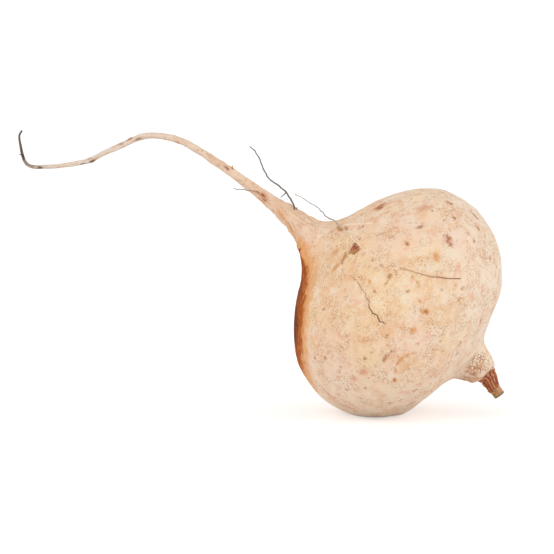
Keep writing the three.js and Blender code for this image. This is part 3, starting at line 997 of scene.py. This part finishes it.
# Fine fibres with no CAD node of their own, lying on the skin: route, girths and look.
FIBRES = [
    ([(-25.3, 102.5), (-23.7, 99.9), (-22.1, 98.6), (-20.5, 97.3), (-18.6, 95.8)],
     (0.25, 0.35, 0.25), "cream"),
    ([(-28.5, 105.2), (-25.1, 106.3), (-20.7, 106.9), (-16.3, 107.5), (-12.4, 107.9)],
     (0.35, 0.48, 0.25), "cream"),
    ([(-26.2, 103.1), (-23.6, 102.6), (-20.9, 102.1)], (0.4, 0.55, 0.35), "cream"),
    ([(-19.1, 95.9), (-17.6, 94.8), (-15.6, 94.4)], (0.3, 0.4, 0.25), "cream"),
    ([(-26.4, 99.6), (-26.2, 96.4), (-26.8, 93.6)], (0.3, 0.4, 0.3), "cream"),
    ([(-31.9, 104.2), (-30.2, 103.2), (-28.6, 104.4)], (0.25, 0.35, 0.2), "rust"),
    ([(-31.2, 106), (-30.8, 104.6), (-29.4, 102.8)], (0.25, 0.3, 0.2), "rust"),
    ([(-27.6, 105.6), (-26.4, 104.4), (-26.4, 102.8)], (0.2, 0.3, 0.2), "rust"),
    ([(-17.6, 111), (-17.2, 108.6), (-16.4, 106)], (0.25, 0.3, 0.2), "cream"),
    ([(-20.2, 109.4), (-19.6, 107.4), (-18.6, 105.4)], (0.2, 0.3, 0.2), "cream"),
    ([(-58.6, 109), (-57, 106.4), (-55.6, 103.4), (-54.4, 101)], (0.18, 0.26, 0.2), "cream"),
    ([(-9.6, -1, 115), (-9.4, -1, 116.2), (-9.1, -1, 117.6)], (0.5, 0.3, 0.1), "burnt"),
    ([(-88.9, 2, 135), (-88.8, 2, 136.2), (-88.6, 2, 137.4)], (0.5, 0.35, 0.15), "rust"),
    ([(-202, -11.6, 143.4), (-203.6, -12, 144), (-204.6, -12.2, 144.4)],
     (0.5, 0.35, 0.12), "burnt"),
    ([(-200.6, -10, 139.2), (-201.4, -10.4, 138.2)], (0.35, 0.12), "burnt"),
    ([(-53.9, -3, 113.2), (-53.3, -3.4, 114.6), (-52.6, -3.6, 115)], (0.3, 0.2, 0.1), "dark"),
]

# Fibres and splinters have this many sides.
FINE_SIDES = 8
# The torn rootlet in the scar: a fan of short fibres from its apex down to its two base corners.
TORN_APEX = (-22.7, 97.4)
TORN_LEFT = (-25.0, 93.5)
TORN_RIGHT = (-20.5, 94.3)
TORN_SAG = 1.5
TORN_SPREAD = 0.9
TORN_FIBRES = 28


def joined(name, parts):
    """Several meshes as one piece."""
    bpy.ops.object.select_all(action="DESELECT")
    for part in parts:
        part.select_set(True)
    bpy.context.view_layer.objects.active = parts[0]
    bpy.ops.object.join()
    parts[0].name = name
    return parts[0]


def rootlets(tree, materials):
    for node, route, girths, look, back, kinks in ROOTLETS:
        places = route_places(tree, route, LIFT, back)
        made = strand(node + "_look", places, girths, materials[look], kinks=kinks)
        if node == "rootlet_neck":
            fork = strand("fork", route_places(tree, FORK_ROUTE, 0), (0.4, 0.25), materials[look])
            made = joined(node + "_look", [made, fork])
        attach(made, "root")
        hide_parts(node)


def torn_fibres(tree, materials, rng):
    """The stump of a rootlet that was torn off: short fibres that fan out in the scar."""
    fibres = []
    for k in range(TORN_FIBRES):
        share = (k + rng.uniform(0.1, 0.9)) / TORN_FIBRES
        foot = [low + (high - low) * share for low, high in zip(TORN_LEFT, TORN_RIGHT)]
        foot[1] -= TORN_SAG * math.sin(math.pi * share) * rng.uniform(0.6, 1.2)
        head = [apex + rng.uniform(-TORN_SPREAD, TORN_SPREAD) for apex in TORN_APEX]
        start = rng.uniform(0.0, 0.6)
        ends = [head[i] + (foot[i] - head[i]) * start for i in (0, 1)]
        middle = ((ends[0] + foot[0]) / 2 + rng.uniform(-0.3, 0.3), (ends[1] + foot[1]) / 2)
        places = route_places(tree, [tuple(ends), middle, tuple(foot)], rng.uniform(-0.1, 0.3))
        look = "rust" if rng.random() < 0.3 else "russet"
        girths = (0.2, rng.uniform(0.3, 0.45), 0.15)
        fibres.append(strand("fibre", places, girths, materials[look], sides=FINE_SIDES))
    return fibres


def fibres(tree, materials, rng):
    """The fine fibres, joined into one piece for each slot."""
    made = {"dark_strand": [], "pale_strand": []}
    for route, girths, look in FIBRES:
        places = route_places(tree, route, 0.5 * girths[0])
        fibre = strand("fibre", places, girths, materials[look], sides=FINE_SIDES)
        made[LOOKS[look][3]].append(fibre)
    made["dark_strand"].extend(torn_fibres(tree, materials, rng))
    for slot, parts in made.items():
        whole = joined("fibres_" + slot, parts)
        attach(whole, "root")


# -------- stub

RIDGES = 14
BARK_END = 10.5
BARK_SLANT = 0.4
SPLINTERS = 34
SPLINTER_GIRTHS = (0.45, 0.35, 0.12)
SPLINTER_DEPTH = 0.2
SPLINTER_BEND = 0.3
STUB_RINGS = 120
STUB_SIDES = 150
# The cut face: rings drawn in towards its pith, which lies deepest. Each is a share of the cut's
# radius, and has a share of the rim's dark colour.
CUT_RINGS = [(0.9, 0.9), (0.75, 0.9), (0.5, 0.2), (0.25, 0.2)]
CUT_DEPTH = 0.35
PITH_DEPTH = 0.4
PITH_RIM = 0.2
RIM_WIDTH = 1.6
# The bark's noise runs round the stub at this radius, and is stretched along it.
GRAIN_RADIUS = 4.5
GRAIN_STRETCH = 0.22
# The bark laps over the crown in front: extra radius against the distance along the stub.
SKIRT = [(0, 3.5), (0.65, 2.3), (1.4, 0.6), (2.4, 0)]


def stub_places(line, stations, sides):
    """The ridged bark of the stub down to its bare cut tip, with its ridge, bark and turn values."""
    angle = np.tile(np.arange(sides) * 2 * math.pi / sides, len(stations))
    along = np.repeat(stations[:, 0], sides)
    radius = np.repeat(stations[:, 1], sides)
    ahead, up, front = line.axes(along)
    circle = GRAIN_RADIUS * np.cos(angle), GRAIN_RADIUS * np.sin(angle)
    round_about = np.stack([*circle, along * GRAIN_STRETCH], axis=1)
    wobble = ripple(round_about, 2.6, 3)

    # The ridges waver, swell and fade, and there are knots near the crown.
    broad = np.abs(np.cos(RIDGES / 2 * angle + 2.4 * wobble))
    strength = 0.75 + 0.5 * ripple(round_about, 1.3, 2)
    lower = 0.5 + 0.5 * np.cos(angle)
    knots = ripple(round_about * (1, 1, 5), 1.1, 2) * (1 - smooth(along, 3, 6 + 8 * lower))
    ridge = smooth(broad * strength + (0.4 + 0.5 * lower) * knots, 0.15, 0.95)

    # The bark ends in a ragged edge short of the cut.
    edge = BARK_END + BARK_SLANT * np.cos(angle) + 1.2 * wobble + 0.9 * ripple(round_about, 0.9, 2)
    bark = 1 - smooth(along, edge - 0.3, edge + 0.3)

    # How far out the surface lies, and how the bark that laps over the crown is torn.
    in_front = np.sqrt(np.maximum(np.sin(angle), 0))
    reach = radius + bark * (0.6 * ridge - 0.1) + (1 - bark) * (0.15 * ridge - 0.2)
    reach += in_front * np.interp(along, *zip(*SKIRT))
    torn = 0.7 * in_front * wobble * (1 - smooth(along, 0, 1.6))
    places = line.at(along) + torn[:, None] * ahead
    places += reach[:, None] * (np.cos(angle)[:, None] * up + np.sin(angle)[:, None] * front)
    # The last value says which way each place faces; the stub's painted light follows it.
    return places, np.clip(ridge, 0, 1), bark, np.cos(angle)


def splinters(line, material, rng):
    """Curled ends of bark that stick out where the stub leaves the crown and along its lower edge."""
    made = []
    for k in range(SPLINTERS):
        lower_edge = k % 3 == 0
        angle = rng.normal(0, 0.3) if lower_edge else rng.uniform(-0.2, 3.3)
        along = rng.uniform(2, 12) if lower_edge else rng.uniform(1.2, 2.6)
        ahead, up, front = line.axes(along)
        out = math.cos(angle) * up + math.sin(angle) * front
        girth = np.interp(along, *zip(*STUB_GIRTH))
        foot = line.at(along) + out * (girth - SPLINTER_DEPTH)
        tip = foot + out * rng.uniform(0.8, 1.3) - ahead * rng.uniform(0.2, 1.4)
        middle = (foot + tip) / 2 + ahead * SPLINTER_BEND
        places = [foot, middle, tip]
        made.append(strand("splinter", places, SPLINTER_GIRTHS, material, FINE_SIDES, step=0.25))
    return made


def cut_face(edge, tip, ahead):
    """Rings drawn in from the cut's edge, and the pith in the middle, a little hollow."""
    rings = [tip + (edge - tip) * share - ahead * CUT_DEPTH * (1 - share) for share, _ in CUT_RINGS]
    return np.vstack(rings), tip - ahead * PITH_DEPTH


def stub(materials, rng):
    """The cut stub of the vine: ridged bark that ends short of the bare cut tip."""
    line = Line(STUB_LINE)
    girth = Line([(along, radius, 0) for along, radius in STUB_GIRTH])
    stations = girth.at(np.linspace(0, girth.length, STUB_RINGS + 1))
    length = stations[-1, 0]
    places, ridge, bark, turn = stub_places(line, stations, STUB_SIDES)
    cut, pith = cut_face(places[-STUB_SIDES:], line.at(length), line.ahead(length))
    near_cut = smooth(np.repeat(stations[:, 0], STUB_SIDES), length - RIM_WIDTH, length)
    cut_rims = np.repeat([rim for _, rim in CUT_RINGS], STUB_SIDES)

    sides = [STUB_SIDES] * (len(stations) + len(CUT_RINGS))
    ends = np.stack([line.at(0.0), pith])
    whole, faces = capped(np.vstack([places, cut]), sides, ring_faces(sides), ends)
    bare = np.zeros(len(whole) - len(places))
    values = {
        "ridge": np.append(ridge, bare),
        "bark": np.append(bark, bare),
        "turn": np.append(turn, bare),
        "rim": np.concatenate([near_cut, cut_rims, [0, PITH_RIM]]),
        "place": whole,
    }
    body = piece("stub_bark", whole, turned(faces), stub_material(), values)
    made = joined("stub_bark", [body, *splinters(line, materials["russet"], rng)])
    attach(made, "root")
    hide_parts("stem_stub")


# -------- floor, light and camera

WHITE = (1, 1, 1, 1)
WORLD_LIGHT = 0.64
FLOOR_ALBEDO = 0.88
FLOOR_GLOW = 0.43
FLOOR_WIDTH = 60.0
# Soft lamps as far-off discs: name, azimuth and elevation in degrees, strength, width in degrees.
LAMPS = [("left", -60, 2, 1.42, 75), ("right", 52, 5, 1.4, 75)]
CAMERA_TARGET = (-0.06435, 0, 0.0759)
CAMERA_DISTANCE = 1.6
CAMERA_ELEVATION = 6
VIEW_WIDTH = 0.3047
CLIP_NEAR = 0.05
CLIP_FAR = 100
SENSOR = 36


def floor():
    """Plain pale paper that looks white to the camera and keeps the root's shadow."""
    bpy.ops.mesh.primitive_plane_add(size=FLOOR_WIDTH)
    made = bpy.context.object
    made.name = "floor"
    g = material_graph("floor_paper")
    made.data.materials.append(g.shaded({
        "Base Color": (FLOOR_ALBEDO, FLOOR_ALBEDO, FLOOR_ALBEDO, 1),
        "Roughness": 0.9,
        "Specular IOR Level": 0.0,
        "Emission Color": WHITE,
        "Emission Strength": g.by_ray(0.0, FLOOR_GLOW),
    }))


def lights():
    """A pale world that the camera sees as white, and two wide soft lamps."""
    world = bpy.data.worlds.new("studio")
    g = Graph(world, "Background")
    bpy.context.scene.world = g.shaded({"Color": WHITE, "Strength": g.by_ray(WORLD_LIGHT, 1.0)})
    for name, azimuth, elevation, strength, width in LAMPS:
        lamp = bpy.data.lights.new(name, "SUN")
        lamp.energy = strength
        lamp.angle = math.radians(width)
        tilt, turn = math.radians(90 - elevation), math.radians(azimuth)
        placed(name, lamp).rotation_euler = (tilt, 0, turn)


def camera():
    """Looks at the root from the front and a little above, midway between taproot and crown."""
    tilt = math.radians(90 - CAMERA_ELEVATION)
    back = Vector((0, -math.sin(tilt), math.cos(tilt)))
    data = bpy.data.cameras.new("camera")
    data.sensor_width = SENSOR
    data.lens = SENSOR * CAMERA_DISTANCE / VIEW_WIDTH
    data.clip_start, data.clip_end = CLIP_NEAR, CLIP_FAR
    made = placed("camera", data)
    made.location = Vector(CAMERA_TARGET) + back * CAMERA_DISTANCE
    made.rotation_euler = (tilt, 0, 0)
    bpy.context.scene.camera = made


# -------- the scene

def main():
    rng = np.random.default_rng(SEED)
    tree = skin(rng)
    materials = {look: strand_material("strand_" + look, *codes[:3]) for look, codes in LOOKS.items()}
    rootlets(tree, materials)
    fibres(tree, materials, rng)
    stub(materials, rng)
    floor()
    lights()
    camera()
    bpy.context.scene.view_settings.view_transform = "Standard"


main()
